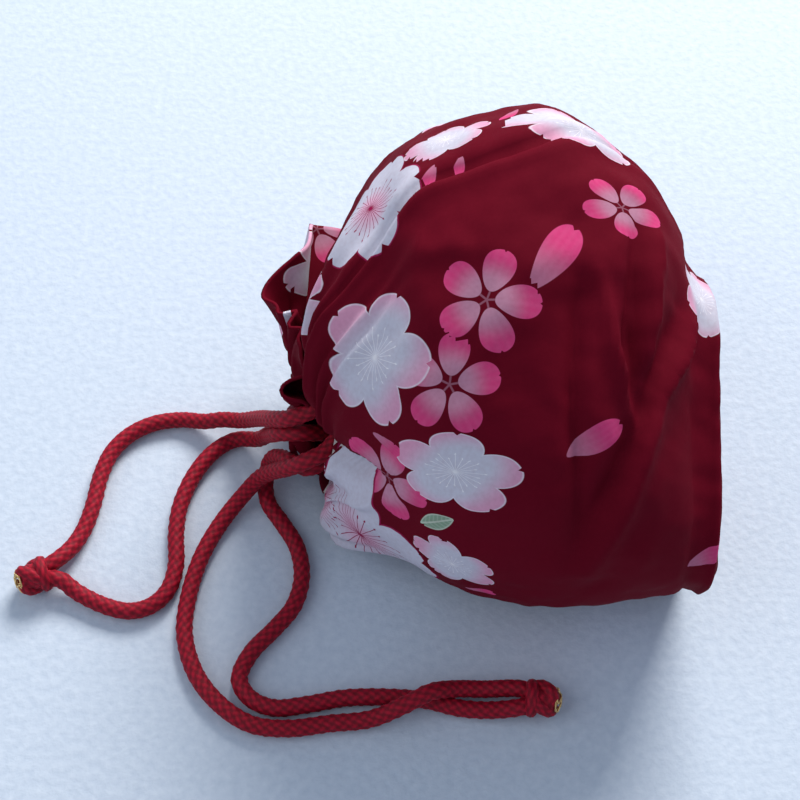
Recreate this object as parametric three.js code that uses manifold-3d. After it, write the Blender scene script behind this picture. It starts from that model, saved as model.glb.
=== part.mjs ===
// A kinchaku: a lined cotton drawstring pouch with a boxed base, lying on its side and
// drawn shut. Millimetres, +Z up. The neck points to -X and the base to +X; the origin is
// on the surface the pouch lies on, under the middle of its cloth. Two cords run round the
// neck inside two casing sleeves, and each ends in one knot with a gold cap.
import * as THREE from 'three';
import { mergeVertices } from 'three/addons/utils/BufferGeometryUtils.js';
import Module from 'manifold-3d';

const wasm = await Module();
wasm.setup();

// Driving dimensions.
const CLOTH = 1.0;               // doubled outer cotton
const LINING = 0.7;
const GAP = 0.4;                 // clearance between pieces that touch
const LINING_GAP = 0.8;          // the lining hangs a little slack inside the outer cloth
const SETTLE = 3;                // how softly the cloth flattens onto the surface
const ROLL = THREE.MathUtils.degToRad(28);   // the pouch has rolled round its long axis
const NECK = { y: 2, z: 38, radius: 11.2, back: -41.8, front: -55.4 };
const FRILL = { ruffle: 8, waves: 7, steps: 12 };
const PLEATS = { count: 14, depth: 0.4 };
const CASING = { inner: 11.6, outer: 18.8, wall: 0.5, back: -42.7, front: -54.9 };
const CORD = { diameter: 5, sides: 8, ringRadius: 15.2, farLane: -51.6, nearLane: -46.0 };
const KNOT = { radius: 5.3, length: 9.4 };
const CAP = { radius: 3.3, length: 1.9, bore: 1.0 };
const COLUMNS = 56;
const MIDDLE = { x: -9.25, y: -2.65 };       // of the cloth, in the coordinates used below

const COLOURS = { cotton: 0x6e1023, lining: 0xb9a7a0, cord: 0x9c1238, gold: 0xc79a4b };

// Sections of the body from the middle of the base to the gathered shoulder. Each has a
// place along its length, a middle, its reach to the far seam, near seam, front and back,
// and the power of its rounded outline (2 is an ellipse, higher is squarer).
const SECTIONS = [
  { t: 0.00, x: 51.5, y: -16, z: 37, far: 0.5, near: 0.5, front: 0.5, back: 0.5, power: 3.4 },
  { t: 0.09, x: 50.4, y: -16, z: 37, far: 35, near: 38, front: 32, back: 31, power: 3.4 },
  { t: 0.13, x: 46.4, y: -15, z: 38, far: 41, near: 42, front: 37, back: 36, power: 3.2 },
  { t: 0.28, x: 28.0, y: -7, z: 50, far: 58, near: 57, front: 50, back: 50, power: 2.8 },
  { t: 0.46, x: 4.0, y: -3, z: 55, far: 67, near: 66, front: 56, back: 56, power: 2.4 },
  { t: 0.62, x: -20.0, y: -1, z: 54, far: 63, near: 61, front: 54, back: 55, power: 2.1 },
  { t: 0.74, x: -37.5, y: 1, z: 49, far: 53, near: 49, front: 45, back: 46, power: 2 },
  { t: 0.83, x: -47.0, y: 2, z: 42, far: 37, near: 35, front: 34, back: 36, power: 2 },
  { t: 0.89, x: -49.8, y: 2, z: 38.5, far: 29, near: 29, front: 29, back: 29, power: 2 },
  { t: 0.93, x: -48.6, y: 2, z: 38, far: 24, near: 24, front: 24, back: 24, power: 2 },
  { t: 0.97, x: -42.4, y: 2, z: 38, far: 22, near: 22, front: 22, back: 22, power: 2 },
  { t: 1.00, x: -40.6, y: 2, z: 38, far: 13.4, near: 13.4, front: 13.4, back: 13.4, power: 2 },
];
// The slit that the cord ends come out of, and the one opposite, in degrees round the neck;
// and how far each flap of the frill draws back from them.
const SLIT = { open: 178, hidden: 322 };
const SLIT_SPREAD = { front: 70, back: 42, hidden: 10 };
// The frill's length and its final lean in degrees, as [place, value] across each flap.
const FLAPS = {
  front: {
    length: [[0, 33], [0.25, 42], [0.78, 42], [1, 24]],
    lean: [[0, 99], [0.25, 106], [0.78, 106], [1, 104]],
  },
  back: {
    length: [[0, 27], [0.2, 39], [0.3, 38], [0.55, 25], [0.65, 19], [1, 19]],
    lean: [[0, 76], [0.2, 102], [0.28, 98], [0.44, 76], [0.56, 58], [0.66, 84], [1, 98]],
  },
};
// Where the two side seams lie round the body, in degrees from the far side, turning up.
// They swirl towards the neck, where the cloth is twisted as it is drawn in.
const FAR_SEAM = [[0, 36], [0.55, 38], [0.74, 58], [0.87, 110], [1, SLIT.open]];
const NEAR_SEAM = [[0, 216], [0.55, 220], [0.74, 234], [0.87, 270], [1, SLIT.hidden]];
const clamp01 = (value) => Math.min(1, Math.max(0, value));
const ease = (from, to, value) => {
  const s = clamp01((value - from) / (to - from));
  return s * s * (3 - 2 * s);
};

// A smooth value through a list of [place, value] pairs, without overshoot.
function through(pairs, place) {
  const last = pairs.length - 1;
  let k = 0;
  while (k < last - 1 && place > pairs[k + 1][0]) k += 1;
  const slope = (i) => (pairs[i + 1][1] - pairs[i][1]) / (pairs[i + 1][0] - pairs[i][0]);
  const tangent = (i) => {
    if (i === 0) return slope(0);
    if (i === last) return slope(last - 1);
    const before = slope(i - 1);
    const after = slope(i);
    return before * after <= 0 ? 0 : (2 * before * after) / (before + after);
  };
  const [x0, y0] = pairs[k];
  const [x1, y1] = pairs[k + 1];
  const width = x1 - x0;
  const s = clamp01((place - x0) / width);
  return y0 * (1 + 2 * s) * (1 - s) ** 2 + tangent(k) * width * s * (1 - s) ** 2
    + y1 * s * s * (3 - 2 * s) + tangent(k + 1) * width * s * s * (s - 1);
}

const sectionValue = (key, t) => through(SECTIONS.map((section) => [section.t, section[key]]), t);

// The cloth rests on the surface: what would sink below it lies flat.
function settle(z) {
  if (z > SETTLE) return z;
  if (z < -SETTLE) return 0;
  return (z + SETTLE) ** 2 / (4 * SETTLE);
}

// The angle round the pouch of a place u round the cloth: 0 to 0.5 is the front panel from
// the far seam to the near seam, and 0.5 to 1 is the back panel.
function angleAt(u, farSeam, nearSeam, openFront = 0, openBack = 0, openHidden = 0) {
  if (u < 0.5) {
    return THREE.MathUtils.lerp(farSeam + openFront, nearSeam - openHidden, 2 * u);
  }
  return THREE.MathUtils.lerp(nearSeam + openHidden, farSeam + 360 - openBack, 2 * u - 1);
}

function bodyPoint(u, t) {
  const angle = THREE.MathUtils.degToRad(angleAt(u, through(FAR_SEAM, t), through(NEAR_SEAM, t)));
  const turned = angle - ROLL;
  const wide = Math.cos(turned);
  const deep = Math.sin(turned);
  const reachWide = sectionValue(wide > 0 ? 'far' : 'near', t);
  const reachDeep = sectionValue(deep > 0 ? 'front' : 'back', t);
  const power = sectionValue('power', t);
  const outline = ((Math.abs(wide) / reachWide) ** power + (Math.abs(deep) / reachDeep) ** power)
    ** (-1 / power);
  const pleat = PLEATS.depth * ease(0.62, 0.84, t) * (1 - ease(0.86, 0.93, t));
  const reach = outline + pleat * Math.cos(2 * Math.PI * PLEATS.count * u);
  return new THREE.Vector3(
    sectionValue('x', t),
    sectionValue('y', t) + reach * Math.cos(angle),
    settle(sectionValue('z', t) + reach * Math.sin(angle)),
  );
}

function neckPoint(u, s) {
  const angle = THREE.MathUtils.degToRad(angleAt(u, SLIT.open, SLIT.hidden));
  return new THREE.Vector3(
    THREE.MathUtils.lerp(NECK.back, NECK.front, s),
    NECK.y + NECK.radius * Math.cos(angle),
    NECK.z + NECK.radius * Math.sin(angle),
  );
}

// The frill opens from the neck like a bell and leans back over the shoulder. It is longest
// in the middle of each flap, and one corner of the back flap stands out from the shoulder.
function frillPoint(u, s) {
  const acrossFlap = (u % 0.5) / 0.5;
  const flap = u < 0.5 ? FLAPS.front : FLAPS.back;
  const length = through(flap.length, acrossFlap);
  const wave = FRILL.ruffle * Math.sin(2 * Math.PI * FRILL.waves * u);
  const finalLean = through(flap.lean, acrossFlap) + wave;
  let x = NECK.front;
  let radius = NECK.radius;
  for (let k = 0; k < Math.round(s * FRILL.steps); k += 1) {
    const along = (k + 0.5) / FRILL.steps;
    const lean = THREE.MathUtils.degToRad(8 + (finalLean - 8) * ease(-0.15, 0.34, along));
    x -= Math.cos(lean) * length / FRILL.steps;
    radius += Math.sin(lean) * length / FRILL.steps;
  }
  const spread = ease(-0.1, 0.5, s);
  const angle = THREE.MathUtils.degToRad(angleAt(u, SLIT.open, SLIT.hidden, SLIT_SPREAD.front * spread,
    SLIT_SPREAD.back * spread, SLIT_SPREAD.hidden * spread));
  return new THREE.Vector3(x, NECK.y + radius * Math.cos(angle),
    CLOTH + settle(NECK.z + radius * Math.sin(angle) - CLOTH));
}

const bodyRow = (t) => ({ open: false, at: (u) => bodyPoint(u, t) });
const neckRow = (s) => ({ open: false, at: (u) => neckPoint(u, s) });
const frillRow = (s) => ({ open: s > 0.1, at: (u) => frillPoint(u, s) });

const BODY_ROWS = [0, 0.05, 0.09, 0.11, 0.13, 0.2, 0.28, 0.37, 0.46, 0.54, 0.62, 0.68, 0.74,
  0.79, 0.83, 0.86, 0.89, 0.93, 0.97, 1].map(bodyRow);
const NECK_ROWS = [0, 1].map(neckRow);
const FRILL_ROWS = [1 / 6, 1 / 3, 1 / 2, 3 / 4, 1].map(frillRow);

function geometryOf(vertices, triangles) {
  const geometry = new THREE.BufferGeometry();
  geometry.setAttribute('position', new THREE.Float32BufferAttribute(
    vertices.flatMap((vertex) => [vertex.x, vertex.y, vertex.z]), 3));
  geometry.setIndex(triangles);
  geometry.computeVertexNormals();
  return geometry;
}

// A cloth wall: the same rings of points at two depths below the outer face, closed round
// the hem and down both sides of each slit. Row 0 is a single point in the base.
function clothWall(rows, columns, outerDepth, innerDepth) {
  const grid = rows.map((row) => Array.from({ length: columns }, (_, i) => row.at(i / columns)));
  const at = (j, i) => grid[j][(i + columns) % columns];
  const slitAfter = [columns / 2 - 1, columns - 1];
  const isCut = (j, i) => j >= 0 && rows[Math.min(j + 1, rows.length - 1)].open
    && slitAfter.includes((i + columns) % columns);
  const normalAt = (j, i) => {
    if (j === 0) return new THREE.Vector3(1, 0, 0);
    const before = isCut(j, i - 1) ? at(j, i) : at(j, i - 1);
    const after = isCut(j, i) ? at(j, i) : at(j, i + 1);
    const around = after.clone().sub(before);
    const along = at(Math.min(j + 1, rows.length - 1), i).clone().sub(at(j - 1, i));
    return along.cross(around).normalize();
  };
  const vertices = [];
  for (const depth of [outerDepth, innerDepth]) {
    for (let j = 0; j < rows.length; j += 1) {
      for (let i = 0; i < columns; i += 1) {
        vertices.push(at(j, i).clone().addScaledVector(normalAt(j, i), -depth));
      }
    }
  }
  const layer = rows.length * columns;
  const outer = (j, i) => (j === 0 ? 0 : j * columns + ((i + columns) % columns));
  const inner = (j, i) => layer + outer(j, i);
  const triangles = [];
  const quad = (a, b, c, d) => {
    if (a !== b) triangles.push(a, d, b);
    if (c !== d) triangles.push(b, d, c);
  };
  const last = rows.length - 1;
  for (let j = 0; j < last; j += 1) {
    for (let i = 0; i < columns; i += 1) {
      if (isCut(j, i)) {
        if (!isCut(j - 1, i)) quad(outer(j, i), outer(j, i + 1), inner(j, i + 1), inner(j, i));
        continue;
      }
      quad(outer(j, i), outer(j, i + 1), outer(j + 1, i + 1), outer(j + 1, i));
      quad(inner(j + 1, i), inner(j + 1, i + 1), inner(j, i + 1), inner(j, i));
      if (isCut(j, i - 1)) quad(outer(j, i), outer(j + 1, i), inner(j + 1, i), inner(j, i));
      if (isCut(j, i + 1)) {
        quad(outer(j + 1, i + 1), outer(j, i + 1), inner(j, i + 1), inner(j + 1, i + 1));
      }
      if (j === last - 1) {
        quad(outer(j + 1, i), outer(j + 1, i + 1), inner(j + 1, i + 1), inner(j + 1, i));
      }
    }
  }
  const geometry = geometryOf(vertices, triangles);
  geometry.deleteAttribute('normal');
  return mergeVertices(geometry, 1e-5);
}

function solidOf(geometry) {
  geometry.deleteAttribute('uv');
  geometry.deleteAttribute('normal');
  const merged = mergeVertices(geometry, 1e-4);
  return new wasm.Manifold(new wasm.Mesh({
    numProp: 3,
    vertProperties: merged.attributes.position.array,
    triVerts: new Uint32Array(merged.index.array),
  }));
}

function geometryFrom(solid) {
  const mesh = solid.getMesh();
  const geometry = new THREE.BufferGeometry();
  geometry.setAttribute('position', new THREE.BufferAttribute(mesh.vertProperties, 3));
  geometry.setIndex(new THREE.BufferAttribute(mesh.triVerts, 1));
  geometry.computeVertexNormals();
  return geometry;
}

// A band round the neck between two radii and two angles in degrees, from back to front.
function neckBand(innerRadius, outerRadius, fromAngle, toAngle, back, front) {
  const from = THREE.MathUtils.degToRad(fromAngle);
  const to = THREE.MathUtils.degToRad(toAngle);
  const outline = new THREE.Shape();
  outline.absarc(0, 0, outerRadius, from, to, false);
  outline.absarc(0, 0, innerRadius, to, from, true);
  const band = new THREE.ExtrudeGeometry(outline, {
    depth: back - front, bevelEnabled: false, curveSegments: 12,
  });
  const place = new THREE.Matrix4().makeBasis(
    new THREE.Vector3(0, 1, 0), new THREE.Vector3(0, 0, 1), new THREE.Vector3(1, 0, 0));
  place.setPosition(front, NECK.y, NECK.z);
  return band.applyMatrix4(place);
}

// A casing sleeve: a flat channel sewn round part of the neck, open at both ends.
function casingSleeve(fromAngle, toAngle) {
  const { inner, outer, wall, back, front } = CASING;
  const sleeve = solidOf(neckBand(inner, outer, fromAngle, toAngle, back, front));
  const channel = solidOf(neckBand(inner + wall, outer - wall, fromAngle - 6, toAngle + 6,
    back - wall, front + wall));
  return geometryFrom(sleeve.subtract(channel));
}

const pointsOf = (list) => list.map(([x, y, z]) => new THREE.Vector3(x, y, z));

// The stretch of cord round the neck, inside the sleeves, from the lower slit edge round
// under and over the neck to the upper slit edge.
function ringPoints(lane, fromAngle, toAngle) {
  const count = 12;
  return Array.from({ length: count + 1 }, (_, k) => {
    const angle = THREE.MathUtils.degToRad(THREE.MathUtils.lerp(fromAngle, toAngle, k / count));
    return new THREE.Vector3(lane, NECK.y + CORD.ringRadius * Math.cos(angle),
      NECK.z + CORD.ringRadius * Math.sin(angle));
  });
}

// Routes, knot to slit and slit to knot.
const FAR_OUT = pointsOf([
  [-127.3, -44.4, 5.0], [-122.5, -47.4, 3.1], [-114, -51.5, 2.7], [-107, -53, 2.7],
  [-101, -51.2, 2.7], [-96.9, -46.6, 2.7], [-95.2, -39, 2.7], [-95.9, -29, 2.7],
  [-95.4, -20, 2.7], [-92, -9.6, 2.7], [-86.6, -1.6, 2.7], [-80.6, 2.4, 2.7],
  [-73.4, 1.0, 5.6], [-69.8, -2.0, 13.4], [-67.4, -7.0, 22.6], [-64.4, -11.4, 31.0],
  [-58.8, -13.4, 34.6], [-53.6, -11.8, 31.8],
]);
const FAR_BACK = pointsOf([
  [-55.0, -12.4, 45.4], [-61.0, -12.8, 41.8], [-66.0, -9.0, 34.6], [-70.0, -3.4, 25.4],
  [-74.0, 1.6, 16.4], [-78.6, 5.0, 9.8], [-84.2, 6.6, 7.6], [-90.0, 7.8, 4.4], [-97, 9.4, 2.7],
  [-105, 8.2, 2.7], [-112, 4.4, 2.7], [-117, -1.6, 2.7], [-119.6, -9.6, 2.7],
  [-120.8, -19, 2.7], [-122.6, -27, 2.7], [-125.4, -33.4, 3.4], [-129.8, -38.7, 5.0],
]);
const NEAR_OUT = pointsOf([
  [1.6, -82.0, 5.0], [-5.6, -82.2, 3.2], [-14, -81.6, 2.7], [-24, -79.2, 2.7],
  [-34, -78.4, 2.7], [-46, -78.6, 2.7], [-57, -80.6, 2.7], [-65.4, -81.4, 2.7],
  [-72, -78.6, 2.7], [-75.2, -73.2, 2.7], [-72.4, -65.6, 2.7], [-66, -58.2, 2.7],
  [-61, -51.4, 2.7], [-59.0, -42.4, 2.7], [-60.8, -33, 2.7], [-65.2, -25.6, 2.7],
  [-69.8, -18.4, 2.8], [-70.6, -11.6, 4.0], [-69.0, -8.2, 9.0], [-65.4, -11.4, 17.0],
  [-61.6, -16.4, 23.2], [-56.4, -20.0, 26.4], [-51.8, -18.0, 27.4],
  [-47.6, -14.4, 27.8],
]);
const NEAR_BACK = pointsOf([
  [-51.4, -19.8, 35.6], [-56.4, -21.8, 34.0], [-61.6, -21.0, 28.4], [-66.6, -17.6, 20.0],
  [-71.6, -15.2, 11.6], [-76.6, -17.4, 5.4], [-83, -25.2, 2.7], [-88, -36, 2.7],
  [-90.8, -48, 2.7], [-91.2, -60, 2.7], [-87.4, -71.4, 2.7], [-80.6, -80, 2.7],
  [-71.4, -86, 2.7], [-61, -87.2, 2.7], [-50, -85.8, 2.7], [-39, -84.8, 3.4],
  [-29.6, -82.2, 7.4], [-22.6, -78.8, 8.0], [-15.4, -76.6, 4.4], [-8.0, -76.4, 3.6],
  [2.0, -76.6, 5.0],
]);

function cordTube(points, steps) {
  const radius = CORD.diameter / 2;
  const section = new THREE.Shape();
  for (let k = 0; k < CORD.sides; k += 1) {
    const angle = (2 * Math.PI * k) / CORD.sides;
    if (k === 0) section.moveTo(radius, 0);
    else section.lineTo(radius * Math.cos(angle), radius * Math.sin(angle));
  }
  section.closePath();
  return new THREE.ExtrudeGeometry(section, {
    steps, bevelEnabled: false, extrudePath: new THREE.CatmullRomCurve3(points, false, 'centripetal'),
  });
}

// Turns a piece made along +Y to lie along a direction at a place.
function aim(mesh, place, direction) {
  mesh.position.copy(place);
  mesh.quaternion.setFromUnitVectors(new THREE.Vector3(0, 1, 0), direction.clone().normalize());
  return mesh;
}

// A knot ball: flat where the two cord ends go in, with three wraps round it.
function knotBall() {
  const profile = [new THREE.Vector2(0, 0), new THREE.Vector2(KNOT.radius * 0.86, 0)];
  const rings = 10;
  for (let k = 1; k < rings; k += 1) {
    const along = k / rings;
    const bulge = Math.sqrt(1 - (2 * along - 1) ** 2 * 0.62);
    const wrap = 1 - 0.07 * Math.cos(2 * Math.PI * 3 * along) ** 2;
    profile.push(new THREE.Vector2(KNOT.radius * bulge * wrap, KNOT.length * along));
  }
  profile.push(new THREE.Vector2(KNOT.radius * 0.6, KNOT.length), new THREE.Vector2(0, KNOT.length));
  return new THREE.LatheGeometry(profile, 16);
}

// A bead cap: a shallow gold cup with a hole through its top.
function beadCap() {
  const { radius, length, bore } = CAP;
  const wall = 0.5;
  const profile = [
    new THREE.Vector2(bore, length), new THREE.Vector2(radius * 0.72, length * 0.86),
    new THREE.Vector2(radius, 0), new THREE.Vector2(radius - wall, 0),
    new THREE.Vector2(radius * 0.62, length * 0.62), new THREE.Vector2(bore, length * 0.72),
    new THREE.Vector2(bore, length),
  ].reverse();
  return new THREE.LatheGeometry(profile, 14);
}

const finish = (colour, roughness, metalness = 0) => new THREE.MeshStandardMaterial({
  color: colour, roughness, metalness,
});
const cotton = finish(COLOURS.cotton, 0.85);
const liningCloth = finish(COLOURS.lining, 0.9);
const braid = finish(COLOURS.cord, 0.7);
const gold = finish(COLOURS.gold, 0.3, 1);

const pouch = new THREE.Group();
pouch.position.set(-MIDDLE.x, -MIDDLE.y, 0);
function add(name, geometry, material) {
  const mesh = new THREE.Mesh(geometry, material);
  mesh.name = name;
  pouch.add(mesh);
  return mesh;
}

add('outer_bag', clothWall([...BODY_ROWS, ...NECK_ROWS, ...FRILL_ROWS], COLUMNS, 0, CLOTH), cotton);
add('lining_bag', clothWall([...BODY_ROWS, ...NECK_ROWS], COLUMNS, CLOTH + LINING_GAP,
  CLOTH + LINING_GAP + LINING), liningCloth);
add('front_casing', casingSleeve(226, 308), cotton);
add('back_casing', casingSleeve(334, 496), cotton);

const farRing = ringPoints(CORD.farLane, 226, 497);
const nearRing = ringPoints(CORD.nearLane, 216, 536);
add('far_cord', cordTube([...FAR_OUT, ...farRing, ...FAR_BACK], 78), braid);
add('near_cord', cordTube([...NEAR_OUT, ...nearRing, ...NEAR_BACK], 80), braid);

const knotPlaces = {
  far: { place: new THREE.Vector3(-130.4, -42.0, 5.3), direction: new THREE.Vector3(-0.94, -0.34, 0) },
  near: { place: new THREE.Vector3(2.8, -79.4, 5.3), direction: new THREE.Vector3(1, -0.08, 0) },
};
for (const [side, { place, direction }] of Object.entries(knotPlaces)) {
  aim(add(`${side}_knot`, knotBall(), braid), place, direction);
  const capPlace = place.clone().addScaledVector(direction.clone().normalize(), KNOT.length + GAP);
  aim(add(`${side}_cap`, beadCap(), gold), capPlace, direction);
}

export default pouch;
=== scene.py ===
import math

import bpy
import numpy as np
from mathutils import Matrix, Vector, noise


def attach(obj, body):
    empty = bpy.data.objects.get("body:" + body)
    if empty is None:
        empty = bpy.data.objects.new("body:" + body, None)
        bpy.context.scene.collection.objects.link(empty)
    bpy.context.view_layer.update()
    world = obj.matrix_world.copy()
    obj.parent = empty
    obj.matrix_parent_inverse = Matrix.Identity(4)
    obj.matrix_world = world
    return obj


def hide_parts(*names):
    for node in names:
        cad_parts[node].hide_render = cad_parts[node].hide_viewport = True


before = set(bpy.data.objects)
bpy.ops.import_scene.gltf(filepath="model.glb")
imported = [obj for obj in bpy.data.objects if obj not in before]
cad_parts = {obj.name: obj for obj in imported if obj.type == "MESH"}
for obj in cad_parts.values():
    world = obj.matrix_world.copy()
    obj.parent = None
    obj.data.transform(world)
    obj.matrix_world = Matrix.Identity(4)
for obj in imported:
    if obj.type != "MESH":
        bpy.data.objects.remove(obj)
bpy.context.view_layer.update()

bpy.ops.object.select_all(action="DESELECT")

# Lengths are in millimetres and are turned into metres where a mesh is made. The pouch's
# own coordinates put its neck towards -X; MIDDLE is the middle of its cloth in them.
MM = 0.001
MIDDLE = Vector((-9.25, -2.65, 0))


def place_in_frame(point):
    """A point of the pouch's own coordinates, as metres in the frame."""
    return (Vector(point) - MIDDLE) * MM


# ---------------------------------------------------------------- camera, floor and light

CAMERA_PITCH = math.radians(59)      # down from the horizon
CAMERA_DISTANCE = 470
CAMERA_AIM = (-31, 18, 0)
CAMERA_LENS = 68.85                  # on a sensor 36 mm wide


def add_camera():
    data = bpy.data.cameras.new("camera")
    data.lens = CAMERA_LENS
    data.sensor_width = 36
    camera = bpy.data.objects.new("camera", data)
    back = Vector((0, -math.cos(CAMERA_PITCH), math.sin(CAMERA_PITCH)))
    camera.location = place_in_frame(Vector(CAMERA_AIM) + back * CAMERA_DISTANCE)
    camera.rotation_euler = (math.pi / 2 - CAMERA_PITCH, 0, 0)
    bpy.context.collection.objects.link(camera)
    bpy.context.scene.camera = camera


def add_area_light(name, place, aim, size, power, colour):
    data = bpy.data.lights.new(name, "AREA")
    data.shape = "RECTANGLE"
    data.size, data.size_y = size
    data.energy = power
    data.color = colour
    light = bpy.data.objects.new(name, data)
    light.location = place
    light.rotation_euler = (Vector(aim) - Vector(place)).to_track_quat("-Z", "Y").to_euler()
    bpy.context.collection.objects.link(light)


def add_lights():
    add_area_light("window", (0.35, 0.95, 0.85), (0, 0, 0.04), (0.7, 0.5), 23, (1.0, 0.99, 0.97))
    add_area_light("fill", (-0.9, -0.25, 0.9), (0, 0, 0.03), (1.0, 1.0), 3.0, (0.90, 0.94, 1.0))
    world = bpy.data.worlds.new("room")
    world.use_nodes = True
    background = world.node_tree.nodes["Background"]
    background.inputs["Color"].default_value = (0.66, 0.80, 1.0, 1)
    background.inputs["Strength"].default_value = 0.46
    bpy.context.scene.world = world


# ------------------------------------------------------------------------- shader helpers


class Value:
    """One number or vector in a material, with Python's own arithmetic."""

    def __init__(self, shader, socket):
        self.shader = shader
        self.socket = socket

    def __add__(self, other):
        return self.shader.maths("ADD", self, other)

    def __sub__(self, other):
        return self.shader.maths("SUBTRACT", self, other)

    def __rsub__(self, other):
        return self.shader.maths("SUBTRACT", other, self)

    def __mul__(self, other):
        return self.shader.maths("MULTIPLY", self, other)

    def __truediv__(self, other):
        return self.shader.maths("DIVIDE", self, other)

    __radd__ = __add__
    __rmul__ = __mul__

    def __abs__(self):
        return self.shader.maths("ABSOLUTE", self)

    def do(self, operation, *others):
        return self.shader.maths(operation, self, *others)


class Shader:
    """A material's node tree with one principled surface."""

    def __init__(self, name, **surface):
        self.material = bpy.data.materials.new(name)
        self.material.use_nodes = True
        self.tree = self.material.node_tree
        self.surface = self.tree.nodes["Principled BSDF"]
        for socket, value in surface.items():
            self.surface.inputs[socket.replace("_", " ")].default_value = value

    def node(self, kind, settings=None, inputs=None, output=0):
        """A node of one type: its settings first, then its sockets' values or links."""
        made = self.tree.nodes.new(kind)
        for name, value in (settings or {}).items():
            if name == "stops":
                ramp = made.color_ramp
                while len(ramp.elements) < len(value):
                    ramp.elements.new(1)
                for element, (position, colour) in zip(ramp.elements, value):
                    element.position = position
                    element.color = (*colour, 1)
            else:
                setattr(made, name, value)
        for name, value in (inputs or {}).items():
            self.feed(made.inputs[name], value)
        return Value(self, made.outputs[output])

    def feed(self, socket, value):
        if isinstance(value, Value):
            self.tree.links.new(value.socket, socket)
        else:
            socket.default_value = value

    def maths(self, operation, *values):
        return self.node("ShaderNodeMath", {"operation": operation}, dict(enumerate(values)))

    def step(self, value, low, high):
        """0 below low and 1 above high, or the other way round where low is the higher."""
        return self.node(
            "ShaderNodeMapRange", {"interpolation_type": "SMOOTHSTEP"},
            {"Value": value, "From Min": low, "From Max": high})

    def mix(self, factor, first, second, blend="MIX"):
        made = self.tree.nodes.new("ShaderNodeMix")
        made.data_type = "RGBA"
        made.blend_type = blend
        for index, value in ((0, factor), (6, first), (7, second)):
            if isinstance(value, tuple):
                value = (*value, 1)
            self.feed(made.inputs[index], value)
        return Value(self, made.outputs[2])

    def attribute(self, name, output="Fac"):
        return self.node("ShaderNodeAttribute", {"attribute_name": name}, output=output)

    def split(self, vector):
        made = self.tree.nodes.new("ShaderNodeSeparateXYZ")
        self.feed(made.inputs[0], vector)
        return [Value(self, socket) for socket in made.outputs]

    def noise(self, vector, scale, detail=2.0, output=0):
        return self.node(
            "ShaderNodeTexNoise", {}, {"Vector": vector, "Scale": scale, "Detail": detail}, output)

    def object_point(self):
        return self.node("ShaderNodeTexCoord", output="Object")

    def finish(self, colour, roughness=None, height=None, strength=0.3, distance=0.0003):
        self.feed(self.surface.inputs["Base Color"], colour)
        if roughness is not None:
            self.feed(self.surface.inputs["Roughness"], roughness)
        if height is not None:
            bump = self.node(
                "ShaderNodeBump", {},
                {"Height": height, "Strength": strength, "Distance": distance})
            self.feed(self.surface.inputs["Normal"], bump)
        return self.material


# ------------------------------------------------------------------------------ the print
# Colours are linear.

BURGUNDY = (0.135, 0.0025, 0.0120)
DARK_BURGUNDY = (0.105, 0.0018, 0.0085)
WORN_BURGUNDY = (0.20, 0.006, 0.020)
LILAC = (0.60, 0.57, 0.65)
PALE_PINK = (0.74, 0.27, 0.42)
PINK = (0.70, 0.060, 0.200)
DEEP_PINK = (0.47, 0.022, 0.120)
MAGENTA = (0.30, 0.010, 0.065)
OFF_WHITE = (0.80, 0.76, 0.80)
THREAD_WHITE = (0.86, 0.82, 0.84)
SAGE = (0.24, 0.34, 0.24)
PALE_SAGE = (0.50, 0.55, 0.44)

# The shapes that a stamp of the print can hold; the number is what its attribute carries.
STAMP_KINDS = {"white_blossom": 1, "pink_blossom": 2, "petal": 3, "open_blossom": 4, "leaf": 5}
STAMP_LAYERS = ("print_under", "print_over")
PETALS = 5


def petal_frame(x, y):
    """Distance and angle from the middle, and a place along and across the nearest petal."""
    radius = (x * x + y * y).do("SQRT")
    angle = y.do("ARCTAN2", x)
    turn = (angle * (PETALS / (2 * math.pi)) + 0.5).do("FRACT") - 0.5
    offset = turn * (2 * math.pi / PETALS)
    return radius, angle, radius * offset.do("COSINE"), radius * offset.do("SINE")


def petal_shape(shader, along, across, middle, half_length, half_width, notch):
    """0 in the middle of a petal and 1 at its edge, with a nick in its tip."""
    breadth = half_width * (0.62 + 0.62 * along)
    shape = ((along - middle) / half_length).do("POWER", 2.0) + (across / breadth).do("POWER", 2.0)
    nick = along - (1.0 - notch) - abs(across) * 1.5
    return shape + shader.step(nick, 0.0, notch * 0.6) * 0.6


def stamens(shader, radius, angle, count, length, vary, waves, thick, tip):
    """Fine threads out of a flower's middle, with a dot on the end of each."""
    spoke = abs((angle * (count / (2 * math.pi))).do("FRACT") - 0.5)
    reach = length + vary * (angle * waves).do("SINE")
    thread = shader.step(spoke * radius, thick, thick / 2) * shader.step(radius - reach, 0.02, 0.0)
    dot = shader.step(spoke * radius * 7.0 + abs(radius - reach) * 12.0, tip, tip - 0.25)
    return thread.do("MAXIMUM", dot)


def white_blossom(shader, x, y):
    radius, angle, along, across = petal_frame(x, y)
    shape = petal_shape(shader, along, across, 0.50, 0.515, 0.42, 0.07)
    inside = shader.step(shape, 1.03, 0.97)
    flush = shader.step(radius + 0.16 * (angle * 2.0).do("SINE"), 0.48, 1.05)
    colour = shader.mix(flush * 0.8, LILAC, PALE_PINK)
    rim = shader.step(shape, 0.86, 0.96)
    colour = shader.mix(rim * 0.6, colour, OFF_WHITE)
    threads = stamens(shader, radius, angle, 22, 0.40, 0.07, 9.0, 0.020, 0.5)
    return inside, shader.mix(threads * 0.9, colour, THREAD_WHITE)


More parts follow.
